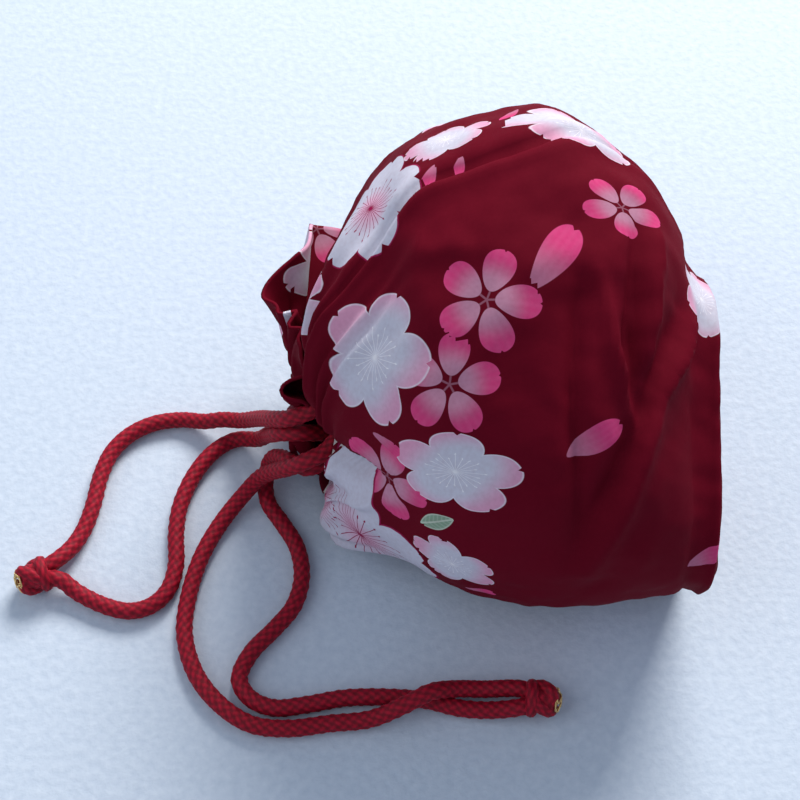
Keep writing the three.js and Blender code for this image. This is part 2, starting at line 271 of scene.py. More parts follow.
def pink_blossom(shader, x, y):
    radius, angle, along, across = petal_frame(x, y)
    shape = petal_shape(shader, along, across, 0.58, 0.41, 0.31, 0.06)
    inside = shader.step(shape, 1.04, 0.97)
    colour = shader.mix(shader.step(along, 0.15, 0.95), DEEP_PINK, PINK)
    vein = (across * 46.0 / (0.4 + along)).do("SINE") * 0.5 + 0.5
    colour = shader.mix(vein * 0.06, colour, PALE_PINK)
    colour = shader.mix(shader.step(radius, 0.85, 0.35) * 0.38, colour, LILAC)
    spoke = abs((angle * (PETALS / (2 * math.pi)) + 0.5).do("FRACT") - 0.5)
    star = shader.step(spoke * radius, 0.022, 0.010) * shader.step(radius, 0.24, 0.18)
    return inside.do("MAXIMUM", star * 0.4), colour


def loose_petal(shader, x, y):
    along = x * 0.5 + 0.5
    breadth = 0.50 * (0.55 + 0.60 * along)
    nick = x - 0.86 - abs(y) * 1.3
    shape = x.do("POWER", 2.0) + (y / breadth).do("POWER", 2.0) + shader.step(nick, 0.0, 0.08) * 0.5
    colour = shader.mix(shader.step(along, 0.1, 0.95), DEEP_PINK, PINK)
    vein = (y * 30.0).do("SINE") * 0.5 + 0.5
    colour = shader.mix(vein * 0.05, colour, PALE_PINK)
    colour = shader.mix(shader.step(along, 0.75, 0.15) * 0.25, colour, LILAC)
    return shader.step(shape, 1.04, 0.96), colour


def open_blossom(shader, x, y):
    radius, angle, along, across = petal_frame(x, y)
    shape = petal_shape(shader, along, across, 0.50, 0.52, 0.44, 0.12)
    inside = shader.step(shape, 1.03, 0.98)
    colour = shader.mix(shader.step(radius, 0.5, 0.1) * 0.6, LILAC, PALE_PINK)
    vein = (across * 30.0 / (0.5 + along)).do("SINE") * 0.5 + 0.5
    colour = shader.mix(vein * 0.25 * shader.step(radius, 0.2, 0.9), colour, LILAC)
    outline = shader.step(shape, 0.90, 0.94)
    threads = stamens(shader, radius, angle, 26, 0.46, 0.08, 7.0, 0.024, 0.55)
    return inside, shader.mix(outline.do("MAXIMUM", threads), colour, MAGENTA)


def leaf(shader, x, y):
    breadth = 0.40 * (1.02 - x * x)
    inside = shader.step(abs(y) - breadth, 0.015, -0.015) * shader.step(abs(x), 1.0, 0.98)
    rib = shader.step(abs(y), 0.055, 0.025)
    side_rib = ((x - abs(y) * 0.8) * 26.0).do("SINE") * 0.5 + 0.5
    edge = shader.step(abs(y) - breadth, -0.09, -0.03)
    colour = shader.mix(side_rib.do("POWER", 3.0) * 0.35, SAGE, PALE_SAGE)
    return inside, shader.mix(rib.do("MAXIMUM", edge), colour, PALE_SAGE)


STAMP_SHAPES = (white_blossom, pink_blossom, loose_petal, open_blossom, leaf)


def weave(shader, pitch):
    """The relief of a plain weave, with this many millimetres between its threads."""
    across, along, _ = shader.split(shader.attribute("thread", "Vector"))
    ripple = 2 * math.pi / pitch
    return (across * ripple).do("SINE") * (along * ripple).do("SINE")


def printed_cotton():
    shader = Shader("printed_cotton", Roughness=0.82, Sheen_Weight=0.0)
    shader.surface.inputs["Specular IOR Level"].default_value = 0.04
    point = shader.object_point()
    colour = shader.mix(shader.noise(point, 38.0, 3.0) * 0.5, BURGUNDY, DARK_BURGUNDY)
    printed = None
    for layer in STAMP_LAYERS:
        x, y, kind = shader.split(shader.attribute(layer, "Vector"))
        for number, shape in enumerate(STAMP_SHAPES, start=1):
            inside, ink = shape(shader, x, y)
            chosen = inside * shader.maths("COMPARE", kind, float(number), 0.4)
            colour = shader.mix(chosen, colour, ink)
            printed = chosen if printed is None else printed.do("MAXIMUM", chosen)
    uneven = shader.noise(point, 900.0, 1.0)
    colour = shader.mix((uneven - 0.35) * 0.25, colour, WORN_BURGUNDY)
    height = weave(shader, 0.42) * 0.5 + uneven * 0.6
    return shader.finish(colour, 0.78 + 0.08 * printed, height, 0.2, 0.00008)


def lining_cotton():
    shader = Shader("lining_cotton", Roughness=0.88)
    shader.surface.inputs["Specular IOR Level"].default_value = 0.25
    point = shader.object_point()
    colour = shader.mix(shader.noise(point, 60.0, 3.0), (0.50, 0.42, 0.38), (0.62, 0.54, 0.50))
    return shader.finish(colour, 0.88, weave(shader, 0.5), 0.3, 0.00012)


def braided_cord():
    shader = Shader("braided_cord", Roughness=0.6, Sheen_Weight=0.05, Sheen_Roughness=0.4)
    shader.surface.inputs["Sheen Tint"].default_value = (1.0, 0.4, 0.45, 1)
    shader.surface.inputs["Specular IOR Level"].default_value = 0.22
    height = shader.attribute("strand")
    point = shader.object_point()
    # The strands' crowns are painted lighter and the gaps between them darker: painted highlight
    # and painted shade over the braid's relief.
    painted_crown_light = shader.step(height, 0.25, 1.0)
    colour = shader.mix(painted_crown_light, (0.170, 0.0016, 0.0095), (0.460, 0.0030, 0.022))
    # Random lighter patches over the cord: a painted sheen highlight.
    painted_sheen_patches = (shader.noise(point, 420.0, 2.0) - 0.4) * 0.35
    colour = shader.mix(painted_sheen_patches, colour, (0.50, 0.015, 0.055))
    fibres = shader.noise(point, 3500.0, 2.0)
    return shader.finish(colour, 0.56 + 0.14 * fibres, fibres, 0.35, 0.0002)


def gilt():
    shader = Shader("gilt", Metallic=1.0, Roughness=0.28)
    point = shader.object_point()
    wear = shader.noise(point, 700.0, 3.0)
    worn = shader.step(wear, 0.45, 0.75) * 0.5
    colour = shader.mix(worn, (0.83, 0.57, 0.24), (0.42, 0.24, 0.09))
    return shader.finish(colour, 0.22 + 0.22 * wear, wear, 0.15, 0.0001)


def pale_floor():
    shader = Shader("pale_floor", Roughness=0.9)
    shader.surface.inputs["Specular IOR Level"].default_value = 0.2
    point = shader.object_point()
    fibres = shader.noise(point, 420.0, 5.0)
    colour = shader.mix(fibres, (0.50, 0.57, 0.67), (0.70, 0.755, 0.83))
    return shader.finish(colour, 0.9, fibres, 0.35, 0.0008)


# ------------------------------------------------------------------- the cloth's own shape
# The sections, seams and frill follow the frame's own, so the cloth lies where its solids
# are. Only the base has squarer corners, and the back of the frill a slightly shorter hem.

CLOTH = 1.0                       # the lift of the frill where it lies on the surface
LINING_DEPTH = 1.9                # below the outer cloth's face
SETTLE = 3.0
ROLL = math.radians(28)
NECK = {"y": 2, "z": 38, "radius": 11.2, "back": -41.8, "front": -55.4}
SLIT = {"open": 178, "hidden": 322}
SLIT_SPREAD = {"front": 70, "back": 42, "hidden": 10}
# The frill's length and final lean, in degrees, across each flap.
FRILL = {
    "front": {"length": ((0, 33), (0.25, 42), (0.78, 42), (1, 24)),
              "lean": ((0, 99), (0.25, 106), (0.78, 106), (1, 104))},
    "back": {"length": ((0, 27), (0.2, 38), (0.34, 34), (0.5, 24), (0.6, 20), (0.68, 19), (1, 19)),
             "lean": ((0, 76), (0.2, 104), (0.36, 104), (0.48, 84), (0.57, 60), (0.66, 84),
                      (1, 98))},
}
FIRST_LEAN = 8                    # degrees, where the frill leaves the neck
RUFFLE = 8                        # degrees that its waves add to the lean
WAVES = 7
FRILL_STEPS = 24
PANEL_WIDTH = 205

SECTIONS = {
    "t": (0.00, 0.09, 0.13, 0.28, 0.46, 0.62, 0.74, 0.83, 0.89, 0.93, 0.97, 1.00),
    "x": (51.5, 50.4, 46.4, 28.0, 4.0, -20.0, -37.5, -47.0, -49.8, -48.6, -42.4, -40.6),
    "y": (-16, -16, -15, -7, -3, -1, 1, 2, 2, 2, 2, 2),
    "z": (37, 37, 38, 50, 55, 54, 49, 42, 38.5, 38, 38, 38),
    "far": (0.1, 35, 41, 58, 67, 63, 53, 37, 29, 24, 22, 13.4),
    "near": (0.1, 38, 42, 57, 66, 61, 49, 35, 29, 24, 22, 13.4),
    "front": (0.1, 32, 37, 50, 56, 54, 45, 34, 29, 24, 22, 13.4),
    "back": (0.1, 31, 36, 50, 56, 55, 46, 36, 29, 24, 22, 13.4),
    "power": (4.8, 4.8, 4.2, 3.1, 2.5, 2.1, 2, 2, 2, 2, 2, 2),
}
FAR_SEAM = ((0, 58), (0.3, 60), (0.5, 71), (0.65, 74), (0.74, 88), (0.87, 126), (1, SLIT["open"]))
NEAR_SEAM = ((0, 218), (0.55, 222), (0.74, 238), (0.87, 272), (1, SLIT["hidden"]))


def through(pairs, places):
    """A smooth value through (place, value) pairs, without overshoot."""
    at, values = np.array(pairs, float).T
    width = np.diff(at)
    slope = np.diff(values) / width
    before, after = slope[:-1], slope[1:]
    total = np.where(before * after > 0, before + after, 1)
    inner = np.where(before * after > 0, 2 * before * after / total, 0)
    tangent = np.concatenate(([slope[0]], inner, [slope[-1]]))
    k = np.clip(np.searchsorted(at, places) - 1, 0, len(width) - 1)
    s = np.clip((places - at[k]) / width[k], 0, 1)
    return (values[k] * (1 + 2 * s) * (1 - s) ** 2 + tangent[k] * width[k] * s * (1 - s) ** 2
            + values[k + 1] * s * s * (3 - 2 * s) + tangent[k + 1] * width[k] * s * s * (s - 1))


def section(name, t):
    return through(list(zip(SECTIONS["t"], SECTIONS[name])), t)


def ease(start, end, value):
    s = np.clip((value - start) / (end - start), 0, 1)
    return s * s * (3 - 2 * s)


def settle(z):
    """The cloth rests on the surface: what would sink below it lies flat."""
    soft = np.clip(z + SETTLE, 0, None) ** 2 / (4 * SETTLE)
    return np.where(z > SETTLE, z, soft)


def angle_round(panel, across, far, near, open_front=0, open_back=0, hidden=0):
    if panel == "front":
        return far + open_front + (near - hidden - far - open_front) * across
    return near + hidden + (far + 360 - open_back - near - hidden) * across


def body_points(panel, across, t):
    angle = np.radians(angle_round(panel, across, through(FAR_SEAM, t), through(NEAR_SEAM, t)))
    wide, deep = np.cos(angle - ROLL), np.sin(angle - ROLL)
    reach_wide = np.where(wide > 0, section("far", t), section("near", t))
    reach_deep = np.where(deep > 0, section("front", t), section("back", t))
    power = section("power", t)
    far_out = np.abs(wide / reach_wide) ** power + np.abs(deep / reach_deep) ** power
    reach = far_out ** (-1 / power)
    return np.stack((section("x", t) + 0 * reach, section("y", t) + reach * np.cos(angle),
                     section("z", t) + reach * np.sin(angle)), -1)


def neck_points(panel, across, s):
    angle = np.radians(angle_round(panel, across, SLIT["open"], SLIT["hidden"]))
    x = NECK["back"] + (NECK["front"] - NECK["back"]) * s
    return np.stack((x + 0 * angle, NECK["y"] + NECK["radius"] * np.cos(angle) + 0 * s,
                     NECK["z"] + NECK["radius"] * np.sin(angle) + 0 * s), -1)


def frill_points(panel, across, s):
    length = through(FRILL[panel]["length"], across)
    turn = across / 2 if panel == "front" else 0.5 + across / 2
    final_lean = through(FRILL[panel]["lean"], across) + RUFFLE * np.sin(2 * np.pi * WAVES * turn)
    x = np.full(np.broadcast(across, s).shape, float(NECK["front"]))
    radius = np.full(x.shape, float(NECK["radius"]))
    for k in range(FRILL_STEPS):
        share = np.clip(s * FRILL_STEPS - k, 0, 1)
        opened = ease(-0.15, 0.34, (k + 0.5) / FRILL_STEPS)
        lean = np.radians(FIRST_LEAN + (final_lean - FIRST_LEAN) * opened)
        x = x - np.cos(lean) * length / FRILL_STEPS * share
        radius = radius + np.sin(lean) * length / FRILL_STEPS * share
    spread = ease(-0.1, 0.5, s)
    angle = np.radians(angle_round(
        panel, across, SLIT["open"], SLIT["hidden"], SLIT_SPREAD["front"] * spread,
        SLIT_SPREAD["back"] * spread, SLIT_SPREAD["hidden"] * spread))
    return np.stack((x, NECK["y"] + radius * np.cos(angle), NECK["z"] + radius * np.sin(angle)), -1)


# Runs of rows from the middle of the base to the hem: which stretch, from, to, rows.
OUTER_RUNS = (("body", 0, 0.09, 14), ("body", 0.09, 0.13, 8), ("body", 0.13, 0.83, 72),
              ("body", 0.83, 1, 24), ("neck", 0, 1, 10), ("frill", 0, 1, 32))
LINING_RUNS = (("body", 0, 0.09, 6), ("body", 0.09, 0.13, 3), ("body", 0.13, 0.83, 32),
               ("body", 0.83, 1, 14), ("neck", 0, 1, 6))
STRETCH = {"body": body_points, "neck": neck_points, "frill": frill_points}
STRETCH_START = {"body": 0, "neck": 1, "frill": 2}


def cloth_rows(runs):
    """Each row's stretch and place in it; the first row of a later run is the last one's end."""
    rows = [("body", 0.0)]
    for stretch, start, end, count in runs:
        rows += [(stretch, start + (end - start) * (k + 1) / count) for k in range(count)]
    return rows


def panel_grid(panel, rows, columns):
    across = np.linspace(0, 1, columns + 1)
    return np.array([STRETCH[stretch](panel, across, np.full(across.shape, place))
                     for stretch, place in rows])


def whole_grid(runs, columns):
    """Both panels side by side: the front one's columns, then the back one's."""
    rows = cloth_rows(runs)
    panels = [panel_grid(panel, rows, columns) for panel in ("front", "back")]
    return np.concatenate(panels, 1), rows


def grid_normals(points, columns):
    """Outward normals of both panels' points; a panel's edge columns share their neighbours'."""
    ring = np.delete(points, (columns, 2 * columns + 1), 1)
    around = np.roll(ring, -1, 1) - np.roll(ring, 1, 1)
    along = np.gradient(ring, axis=0)
    normal = np.cross(along, around)
    normal[0] = (1, 0, 0)
    normal /= np.linalg.norm(normal, axis=2, keepdims=True) + 1e-12
    return np.concatenate((normal[:, :columns + 1], normal[:, columns:], normal[:, :1]), 1)


# Creases: a soft fold along a line, with its width and its height (below nought, a ditch).
CREASES = (
    ((45, -6, 88), (32, -35, 90), (15, -68, 63), 6.0, 4.6),
    ((37, -12, 94), (25, -42, 87), (10, -66, 69), 8.0, -4.4),
    ((12, -15, 110), (10, -40, 99), (12, -65, 73), 5.0, -3.6),
    ((16, -13, 109), (20, -31, 100), (26, -46, 88), 4.2, 3.4),
    ((25, 6, 108), (24, -23, 101), (23, -43, 91), 4.6, -3.8),
    ((31, 4, 105), (30, -16, 101), (28, -34, 94), 4.2, 2.8),
    ((-2, -6, 114), (-10, -30, 103), (-16, -46, 88), 5.0, 0.8),
    ((-30, 2, 104), (-22, -6, 109), (-12, -8, 113), 6.0, 1.0),
    ((-54, -18, 48), (-45, -33, 56), (-33, -43, 64), 6.0, -6.0),
    ((-54, -26, 42), (-44, -40, 48), (-32, -50, 56), 8.0, 2.4),
    ((30, 44, 84), (4, 62, 70), (-26, 58, 62), 7.0, 2.0),
    ((34, 40, 60), (8, 60, 46), (-20, 60, 40), 6.0, -2.2),
    ((40, -10, 8), (10, -30, 6), (-16, -50, 18), 7.0, 1.2),
    ((38, -46, 40), (10, -66, 30), (-14, -62, 24), 6.0, -1.8),
    ((36, 20, 8), (12, 40, 16), (-14, 46, 22), 7.0, 1.6),
    ((50, -36, 56), (50, -20, 40), (50, 4, 22), 6.0, 1.2),
    ((50, 4, 58), (50, -14, 36), (50, -36, 20), 5.0, -1.2),
)
CREASE_STEPS = 12


def crease_height(points, places, width, height):
    """The height of one crease over the cloth, faded out towards its two ends."""
    shares = np.linspace(0, len(places) - 1, CREASE_STEPS + 1)
    line = np.stack([through(list(enumerate(axis)), shares) for axis in zip(*places)], -1)
    flat = points.reshape(-1, 3)
    line = np.array([flat[np.linalg.norm(flat - place, axis=1).argmin()] for place in line])
    line[1:-1] = (line[:-2] + 2 * line[1:-1] + line[2:]) / 4
    nearest = np.full(points.shape[:2], 99.0)
    share = np.zeros(points.shape[:2])
    for k, (start, end) in enumerate(zip(line[:-1], line[1:])):
        way = end - start
        along = np.clip((points - start) @ way / max(way @ way, 1e-9), 0, 1)
        gap = np.linalg.norm(points - start - along[..., None] * way, axis=2)
        share = np.where(gap < nearest, (k + along) / CREASE_STEPS, share)
        nearest = np.minimum(gap, nearest)
    fade = np.sin(np.pi * np.clip(share, 0.03, 0.97)) ** 0.6
    return height * fade * np.exp(-(nearest / (0.5 * width)) ** 1.6)


def fractal(points, scale, seed):
    flat = (points * scale).reshape(-1, 3)
    values = [noise.fractal(Vector(p) + Vector((seed, 2 * seed, -seed)), 0.6, 2.0, 3) for p in flat]
    return np.array(values).reshape(points.shape[:-1])


# Where the shoulder has rolled forward past the neck, in degrees round it, how far, and
# between which places along the cloth.
ROLLS = ({"angle": 112, "spread": 34, "reach": 8.0, "from": 0.72, "to": 0.94},
         {"angle": 216, "spread": 24, "reach": 10.0, "from": 0.66, "to": 0.90})
FOLDS = 13                # gathers round the neck
FOLD_DEPTH = 4.6
RIM_RUN = 0.118           # where the base's rim lies along the cloth
HOLLOW_RUN = 0.16         # and the hollow above it
SEAM_WIDTH = 1.2


def swing(turns):
    return np.sin(2 * np.pi * turns)


def gathers(turn, run):
    """The folds that spread from the neck over the shoulder and up the frill."""
    wander = (0.045 * swing(2 * turn + 0.1) + 0.03 * swing(5 * turn + 0.7)
              + 0.018 * swing(9 * turn + 0.35))
    phase = 2 * np.pi * FOLDS * (turn + wander)
    wave = np.sin(phase)
    pleat = np.abs(np.sin(phase / 2 + 0.35)) ** 0.8 * 1.5
    body = ease(0.60, 0.88, run) ** 1.6
    neck = ease(0.86, 1.0, run) * (1 - ease(2.0, 2.35, run))
    frill = ease(1.98, 2.25, run)
    strength = 0.75 + 0.45 * swing(3 * turn + 0.2) * np.cos(2 * np.pi * (turn + 0.1))
    on_frill = (wave * 1.6 + np.sin(phase * 0.5 + 1.0) * 1.8) * (1 - 0.35 * ease(2.5, 3, run))
    return (wave * 1.9 * body * (1 - neck) * strength
            - pleat * FOLD_DEPTH * 0.5 * neck * (1 - frill) + on_frill * frill)


def seams(turn, run):
    """The sunken side seams, each between two soft ridges."""
    half = 2 * np.abs((turn * 2) % 1 - 0.5)
    gap = (1 - half) * PANEL_WIDTH / 2
    seam = -2.0 * np.exp(-(gap / SEAM_WIDTH) ** 2) + 0.9 * np.exp(-((gap - 4.5) / 2.6) ** 2)
    return seam * (1 - ease(0.9, 1.0, run)) * ease(0.11, 0.16, run)


def base_rim(run):
    """The raised rim round the base and the shallow hollow beside it."""
    rim = 1.8 * np.exp(-((run - RIM_RUN) / 0.010) ** 2)
    return rim - 1.5 * np.exp(-((run - HOLLOW_RUN) / 0.018) ** 2)


def shoulder_roll(points, run, roll):
    """How far the shoulder has rolled forward past the neck on one side."""
    up, out = points[..., 2] - NECK["z"], points[..., 1] - NECK["y"]
    bearing = np.degrees(np.arctan2(up, out)) % 360
    middle = (roll["from"] + roll["to"]) / 2
    stretch = ease(roll["from"], middle, run) * (1 - ease(middle + 0.03, roll["to"], run))
    return roll["reach"] * np.exp(-((bearing - roll["angle"]) / roll["spread"]) ** 2) * stretch


def row_runs(rows):
    """How far along the cloth each row lies: 0 to 1 on the body, then the neck, then the frill."""
    return np.array([STRETCH_START[stretch] + share for stretch, share in rows])


def cloth_heights(points, rows, columns):
    """How far the cloth lies outside its plain shape: folds, creases, seams and lumps."""
    front, back = np.linspace(0, 0.5, columns + 1), np.linspace(0.5, 1, columns + 1)
    turn, run = np.meshgrid(np.concatenate((front, back)), row_runs(rows))
    heights = gathers(turn, run) + seams(turn, run) + base_rim(run)
    for roll in ROLLS:
        heights += shoulder_roll(points, run, roll)
    for *places, width, height in CREASES:
        heights += crease_height(points, places, width, height)
    body_only = 1 - ease(0.9, 1.02, run)
    heights += 2.3 * fractal(points, 0.019, 3.7) * body_only * ease(0.1, 0.4, run)
    heights += 0.8 * fractal(points, 0.055, 9.1) * (0.35 + 0.65 * body_only)
    return heights


LINING_SLACK = 2.6        # how much further in the lining hangs round the neck
LINING_SPAN = 5           # columns each way whose deepest fold it keeps below


def shaped_cloth(runs, columns, depth):
    """The points of both panels, this deep inside the outer face."""
    points, rows = whole_grid(runs, columns)
    normals = grid_normals(points, columns)
    heights = cloth_heights(points, rows, columns)
    if depth:
        shifts = range(-LINING_SPAN, LINING_SPAN + 1)
        heights = np.min([np.roll(heights, shift, 1) for shift in shifts], axis=0)
    on_floor = ease(12, 2, points[..., 2])
    points = points + normals * (heights * (1 - 0.6 * on_floor))[..., None]
    normals = grid_normals(points, columns)
    if depth:
        run = row_runs(rows)[:, None, None]
        depth = depth + LINING_SLACK * ease(0.74, 0.82, run) * (1 - ease(1.3, 1.6, run))
    return points - normals * depth, normals, rows


# ---------------------------------------------------------------------- making the meshes


def new_grid(name, points):
    """A sheet with this many rows and columns of points, in the pouch's millimetres."""
    count_rows, count_columns = points.shape[:2]
    bpy.ops.object.select_all(action="DESELECT")
    bpy.ops.mesh.primitive_grid_add(
        x_subdivisions=count_columns - 1, y_subdivisions=count_rows - 1, size=1)
    piece = bpy.context.object
    piece.name = name
    placed = (points.reshape(-1, 3) - np.array(MIDDLE)) * MM
    piece.data.vertices.foreach_set("co", placed.ravel())
    piece.data.update()
    return piece


def edit_all(piece, operator, **settings):
    """Runs one mesh operator over the whole of a piece."""
    bpy.context.view_layer.objects.active = piece
    bpy.ops.object.mode_set(mode="EDIT")
    bpy.ops.mesh.select_all(action="SELECT")
    operator(**settings)
    bpy.ops.object.mode_set(mode="OBJECT")


def merge_doubles(piece, distance=0.00001):
    edit_all(piece, bpy.ops.mesh.remove_doubles, threshold=distance)


def flip_faces(piece):
    edit_all(piece, bpy.ops.mesh.flip_normals)


def thicken(piece, thickness):
    """Gives a sheet its thickness, on the inner side."""
    wall = piece.modifiers.new("wall", "SOLIDIFY")
    wall.thickness = thickness * MM
    wall.offset = -1
    bpy.context.view_layer.objects.active = piece
    bpy.ops.object.modifier_apply(modifier=wall.name)


def shade_smooth(piece):
    """Shades every face of a piece smooth."""
    piece.data.polygons.foreach_set("use_smooth", [True] * len(piece.data.polygons))


def finish_piece(piece, material, slot, *nodes):
    """Gives a piece its material, hangs it on the root and hides the frame's nodes it stands for;
    the slot is not used.
    """
    piece.data.materials.clear()
    piece.data.materials.append(material)
    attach(piece, "root")
    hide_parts(*nodes)
    return piece


def join(pieces, name):
    bpy.ops.object.select_all(action="DESELECT")
    for piece in pieces:
        piece.select_set(True)
    bpy.context.view_layer.objects.active = pieces[0]
    bpy.ops.object.join()
    pieces[0].name = name
    return pieces[0]


# ------------------------------------------------------------------------------- the cords

CORD_DIAMETER = 5.0
CORD_STEP = 0.62                  # between the rings of its mesh
BRAID_STRANDS = 6                 # of each hand
BRAID_PITCH = 18.0
CORD_RING = {"radius": 15.2, "far_lane": -51.6, "near_lane": -46.0}

# Routes, from inside the knot to the slit and from the slit into the knot again.
FAR_OUT = (
    (-132.2, -44.0, 5.3), (-127.3, -44.4, 5.0), (-122.5, -47.4, 3.1), (-114, -51.5, 2.7),
    (-107, -53, 2.7), (-101, -51.2, 2.7), (-96.9, -46.6, 2.7), (-95.2, -39, 2.7),
    (-95.9, -29, 2.7), (-95.4, -20, 2.7), (-92, -9.6, 2.7), (-86.6, -1.6, 2.7),
    (-80.6, 2.4, 2.7), (-73.4, 1.0, 5.6), (-69.8, -2.0, 13.4), (-67.4, -7.0, 22.6),
    (-64.4, -11.4, 31.0), (-58.8, -13.4, 34.6), (-53.6, -11.8, 31.8),
)
FAR_BACK = (
    (-55.0, -12.4, 45.4), (-61.0, -12.8, 41.8), (-66.0, -9.0, 34.6), (-70.0, -3.4, 25.4),
    (-74.0, 1.6, 16.4), (-78.6, 5.0, 9.8), (-84.2, 6.6, 7.6), (-90.0, 7.8, 4.4),
    (-97, 9.4, 2.7), (-105, 8.2, 2.7), (-112, 4.4, 2.7), (-117, -1.6, 2.7),
    (-119.6, -9.6, 2.7), (-120.8, -19, 2.7), (-122.6, -27, 2.7), (-125.4, -33.4, 3.4),
    (-129.2, -38.5, 5.0), (-132.8, -41.4, 5.3),
)
NEAR_OUT = (
    (5.6, -80.9, 5.3), (1.6, -82.0, 5.0), (-5.6, -82.2, 3.2), (-14, -81.6, 2.7), (-24, -79.2, 2.7),
    (-34, -78.4, 2.7), (-46, -78.6, 2.7), (-57, -80.6, 2.7), (-65.4, -81.4, 2.7),
    (-72, -78.6, 2.7), (-75.2, -73.2, 2.7), (-72.4, -65.6, 2.7), (-66, -58.2, 2.7),
    (-61, -51.4, 2.7), (-59.0, -42.4, 2.7), (-60.8, -33, 2.7), (-65.2, -25.6, 2.7),
    (-69.8, -18.4, 2.8), (-70.6, -11.6, 4.0), (-69.0, -8.2, 9.0), (-65.4, -11.4, 17.0),
    (-61.6, -16.4, 23.2), (-56.4, -20.0, 26.4), (-51.8, -18.0, 27.4), (-47.6, -14.4, 27.8),
)
NEAR_BACK = (
    (-51.4, -19.8, 35.6), (-56.4, -21.8, 34.0), (-61.6, -21.0, 28.4), (-66.6, -17.6, 20.0),
    (-71.6, -15.2, 11.6), (-76.6, -17.4, 5.4), (-83, -25.2, 2.7), (-88, -36, 2.7),
    (-90.8, -48, 2.7), (-91.2, -60, 2.7), (-87.4, -71.4, 2.7), (-80.6, -80, 2.7),
    (-71.4, -86, 2.7), (-61, -87.2, 2.7), (-50, -85.8, 2.7), (-39, -84.8, 3.4),
    (-29.6, -82.2, 7.4), (-22.6, -78.8, 8.0), (-15.4, -76.6, 4.4), (-8.0, -76.4, 3.6),
    (2.0, -76.8, 5.0), (5.6, -78.3, 5.3),
)
# Angles round the neck at which each cord enters and leaves its run inside the sleeves.
FAR_RING = (226, 497)
NEAR_RING = (216, 536)


def round_neck(x, radius, angle):
    """The place at this distance from the neck's axis, at an angle in radians round it."""
    return x, NECK["y"] + radius * math.cos(angle), NECK["z"] + radius * math.sin(angle)


def ring_points(lane, start, end, count=12):
    angles = np.radians(np.linspace(start, end, count + 1))
    return [round_neck(lane, CORD_RING["radius"], angle) for angle in angles]


def run_along(line):
    """How far along a line of points each one lies."""
    return np.concatenate(([0], np.cumsum(np.linalg.norm(np.diff(line, axis=0), axis=1))))


def smooth_line(points, spacing, closed=False):
    """Evenly spaced points on a centripetal curve through the given ones."""
    given = np.array(points, float)
    if closed:
        given = np.concatenate((given[-1:], given, given[:2]))
    else:
        given = np.concatenate(([2 * given[0] - given[1]], given, [2 * given[-1] - given[-2]]))
    dense = []
    for p0, p1, p2, p3 in zip(given[:-3], given[1:-2], given[2:-1], given[3:]):
        t1 = np.linalg.norm(p1 - p0) ** 0.5
        t2 = t1 + np.linalg.norm(p2 - p1) ** 0.5
        t3 = t2 + np.linalg.norm(p3 - p2) ** 0.5
        t = np.linspace(t1, t2, 25)[:-1, None]
        a1 = (t1 - t) / t1 * p0 + t / t1 * p1
        a2 = (t2 - t) / (t2 - t1) * p1 + (t - t1) / (t2 - t1) * p2
        a3 = (t3 - t) / (t3 - t2) * p2 + (t - t2) / (t3 - t2) * p3
        b1 = (t2 - t) / t2 * a1 + t / t2 * a2
        b2 = (t3 - t) / (t3 - t1) * a2 + (t - t1) / (t3 - t1) * a3
        dense.append((t2 - t) / (t2 - t1) * b1 + (t - t1) / (t2 - t1) * b2)
    dense = np.concatenate(dense + [given[-2:-1]])
    run = run_along(dense)
    count = max(8, round(run[-1] / spacing))
    places = np.linspace(0, run[-1], count + 1)
    line = np.stack([np.interp(places, run, dense[:, k]) for k in range(3)], -1)
    if not closed:
        line[1:-1] = (line[:-2] + 2 * line[1:-1] + line[2:]) / 4
    return line, run[-1]


def line_frames(line, closed=False):
    """Two directions across the line at each point, carried along it without twisting."""
    tangents = np.gradient(line, axis=0)
    if closed:
        tangents[0] = tangents[-1] = line[1] - line[-2]
    tangents /= np.linalg.norm(tangents, axis=1, keepdims=True)
    side = np.cross(tangents[0], (0.13, 0.21, 0.97))
    side /= np.linalg.norm(side)
    sides = [side]
    for tangent in tangents[1:]:
        side = sides[-1] - (sides[-1] @ tangent) * tangent
        sides.append(side / np.linalg.norm(side))
    sides = np.array(sides)
    if closed:
        wrapped = sides[-1]
        cross = np.cross(tangents[0], sides[0])
        twist = math.atan2(wrapped @ cross, wrapped @ sides[0])
        angles = -twist * np.linspace(0, 1, len(line))[:, None]
        sides = sides * np.cos(angles) + np.cross(tangents, sides) * np.sin(angles)
    return sides, np.cross(tangents, sides)


def braid_height(turn, along):
    """The height of a round braid's strands, 0 in the gaps and 1 on the crowns."""
    right = BRAID_STRANDS * (turn - along)
    left = BRAID_STRANDS * (turn + along)
    first, second = np.sin(np.pi * right), np.sin(np.pi * left)
    lift = 0.42 * first * second
    return np.maximum(np.abs(first) * (0.58 + lift), np.abs(second) * (0.58 - lift))


